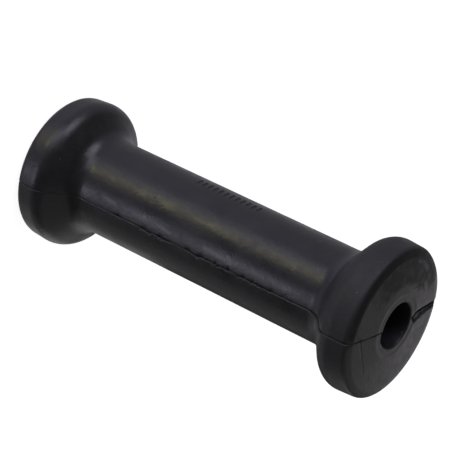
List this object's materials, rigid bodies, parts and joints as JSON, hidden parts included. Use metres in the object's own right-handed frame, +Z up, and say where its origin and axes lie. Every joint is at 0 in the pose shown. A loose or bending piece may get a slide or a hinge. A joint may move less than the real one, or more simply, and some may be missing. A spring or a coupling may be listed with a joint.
{
  "type": "boat trailer roller",
  "caption": "Moulded rubber spool roller with flanged ends and a plain through bore, which turns on a spindle and carries a boat's keel on its trailer.",
  "frame": {"origin": "centre of the lower end, in the plane of its flat land, on the floor that the roller stands on", "axes": "+Z up the axis of the bore to the end that shows in the picture, +X towards the side parting line that shows there, -Y towards the row of raised bars"},
  "size_m": [0.0744, 0.0744, 0.2],
  "materials": {
    "black_rubber": "near-black moulded rubber, satin with a faint bloom, dull on the end faces, with a fine parting line"
  },
  "bodies": {
    "root": {"roller": "black_rubber"}
  },
  "joints": []
}
